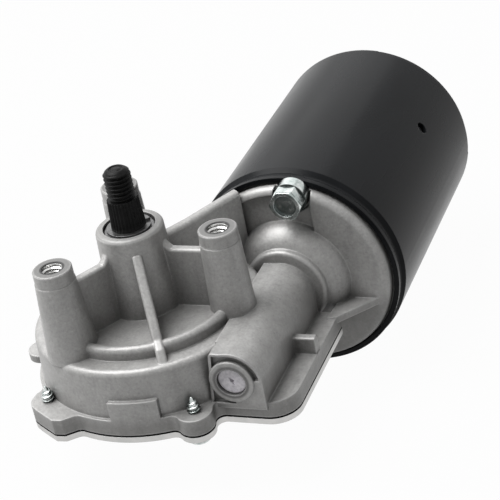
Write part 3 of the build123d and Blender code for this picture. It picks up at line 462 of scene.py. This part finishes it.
def ridge_rings(centre, low, high, pitch, foot, crest, width, per_turn=40):
    """A helical ridge round an upright axis, from foot radius to crest radius, faded at both ends."""
    turns = (high - low) / pitch
    steps = round(turns * per_turn)
    rings = []
    for step in range(steps + 1):
        share = step / steps
        z = low + (high - low) * share
        fade = min(1.0, share * turns * 1.5, (1.0 - share) * turns * 1.5)
        turn = 2 * math.pi * turns * share
        side = (math.cos(turn), math.sin(turn))
        base, tip = foot(z), crest(z)
        tip = base + (tip - base) * max(fade, 0.02)
        corners = (
            (base, z - width / 2), (tip, z - width * 0.12),
            (tip, z + width * 0.12), (base, z + width / 2),
        )
        rings.append([(centre[0] + r * side[0], centre[1] + r * side[1], height) for r, height in corners])
    return rings


# Screw threads on the points of the cover screws
EAR_TOP = -42.0 * MM
SCREW_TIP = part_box("cover_screws")[1][2]
SCREW_R = 1.5 * MM
SCREW_POINT_R = 0.25 * MM
SCREW_TAPER_LOW = EAR_TOP + (SCREW_TIP - EAR_TOP) / 3
EAR_RING_R = 36.3 * MM
EAR_ANGLES = (-130.0, -51.8, 155.0, 100.0)


def screw_core(z):
    share = min(1.0, max(0.0, (z - SCREW_TAPER_LOW) / (SCREW_TIP - SCREW_TAPER_LOW)))
    return SCREW_R + (SCREW_POINT_R - SCREW_R) * share


def screw_threads():
    bands = []
    for angle in EAR_ANGLES:
        x, y = (EAR_RING_R * f(math.radians(angle)) for f in (math.cos, math.sin))
        bands.append(ridge_rings(
            (x, y), EAR_TOP - 0.2 * MM, SCREW_TIP - 0.7 * MM, 1.15 * MM,
            lambda z: screw_core(z) - 0.1 * MM, lambda z: screw_core(z) + 0.42 * MM, 0.6 * MM,
        ))
    skin("cover_screw_threads", bands, "zinc_plated_steel", REST_BODY)


# Screw threads in the mounting posts
POST_HOLE_DEPTH = 15.0 * MM
POST_CORE_R = 2.55 * MM
POST_PITCH = 1.0 * MM


def post_threads():
    bands = []
    for angle in POST_ANGLES:
        x, y = (POST_RING_R * f(math.radians(angle)) for f in (math.cos, math.sin))
        bands.append(ridge_rings(
            (x, y), -POST_HOLE_DEPTH + 2.0 * MM, -0.45 * MM, POST_PITCH,
            lambda z: POST_HOLE_R + 0.05 * MM, lambda z: POST_CORE_R, 0.92 * MM,
        ))
    bright = plain(
        "cut_aluminium", (0.60, 0.60, 0.59), (0.86, 0.86, 0.85), 1.0, 0.22, 0.36, 0.0008, edge=0.0001
    )
    skin("post_threads", bands, "cast_aluminium", REST_BODY, bright)


threaded_shaft()
screw_threads()
post_threads()


# Stage: floor, lamps, world and camera
def seen_directly(nodes, links, rays):
    """1 for rays that show the background: from the camera, off metal and through glass."""
    total = rays.outputs["Is Camera Ray"]
    for name in ("Is Glossy Ray", "Is Transmission Ray"):
        node = nodes.new("ShaderNodeMath")
        node.operation = "MAXIMUM"
        links.new(total, node.inputs[0])
        links.new(rays.outputs[name], node.inputs[1])
        total = node.outputs[0]
    return total


def floor():
    bpy.ops.mesh.primitive_plane_add(size=FLOOR_SIZE, location=(0.0, 0.0, cad_low[2] - FLOOR_GAP))
    plane = bpy.context.object
    plane.name = "floor"
    material = bpy.data.materials.new("floor_white")
    material.use_nodes = True
    nodes, links = material.node_tree.nodes, material.node_tree.links
    shader = next(n for n in nodes if n.type == "BSDF_PRINCIPLED")
    shader.inputs["Base Color"].default_value = FLOOR_GREY
    shader.inputs["Roughness"].default_value = 0.9
    out = next(n for n in nodes if n.type == "OUTPUT_MATERIAL")
    rays = nodes.new("ShaderNodeLightPath")
    glow = nodes.new("ShaderNodeEmission")
    glow.inputs["Strength"].default_value = 1.0
    mix = nodes.new("ShaderNodeMixShader")
    share = nodes.new("ShaderNodeMath")
    share.operation = "MULTIPLY"
    share.inputs[1].default_value = FLOOR_GLOW
    links.new(seen_directly(nodes, links, rays), share.inputs[0])
    links.new(share.outputs[0], mix.inputs[0])
    links.new(shader.outputs[0], mix.inputs[1])
    links.new(glow.outputs[0], mix.inputs[2])
    links.new(mix.outputs[0], out.inputs["Surface"])
    plane.data.materials.append(material)


def world():
    sky = bpy.data.worlds.new("studio")
    bpy.context.scene.world = sky
    sky.use_nodes = True
    nodes, links = sky.node_tree.nodes, sky.node_tree.links
    nodes.clear()
    out = nodes.new("ShaderNodeOutputWorld")
    rays = nodes.new("ShaderNodeLightPath")
    soft = nodes.new("ShaderNodeBackground")
    soft.inputs["Color"].default_value = WHITE
    soft.inputs["Strength"].default_value = SOFT_LIGHT
    white = nodes.new("ShaderNodeBackground")
    white.inputs["Color"].default_value = WHITE
    mix = nodes.new("ShaderNodeMixShader")
    links.new(seen_directly(nodes, links, rays), mix.inputs[0])
    links.new(soft.outputs[0], mix.inputs[1])
    links.new(white.outputs[0], mix.inputs[2])
    links.new(mix.outputs[0], out.inputs["Surface"])


def lamp(name, place, size, power):
    data = bpy.data.lights.new(name, "AREA")
    data.shape = "RECTANGLE"
    data.size, data.size_y = size
    data.energy = power
    obj = bpy.data.objects.new(name, data)
    bpy.context.collection.objects.link(obj)
    obj.location = place
    obj.rotation_euler = (Vector(LAMP_TARGET) - Vector(place)).to_track_quat("-Z", "Y").to_euler()


def lamps():
    lamp("key", (-0.34, -0.04, 0.78), (0.65, 0.65), 13.0)
    lamp("back", (-0.30, 0.80, 0.55), (0.9, 0.6), 1.2)
    lamp("far_side", (-0.78, -0.20, 0.20), (0.3, 0.6), 1.3)


def camera():
    data = bpy.data.cameras.new("camera")
    data.sensor_width = SENSOR_WIDTH
    data.lens = CAMERA_LENS
    data.clip_start = CLIP_START
    obj = bpy.data.objects.new("camera", data)
    bpy.context.collection.objects.link(obj)
    turn = Matrix((CAMERA_RIGHT, CAMERA_UP, CAMERA_BACK)).transposed().to_4x4()
    obj.matrix_world = Matrix.Translation(CAMERA_PLACE) @ turn
    bpy.context.scene.camera = obj


floor()
world()
lamps()
camera()
bpy.context.scene.view_settings.view_transform = "Standard"
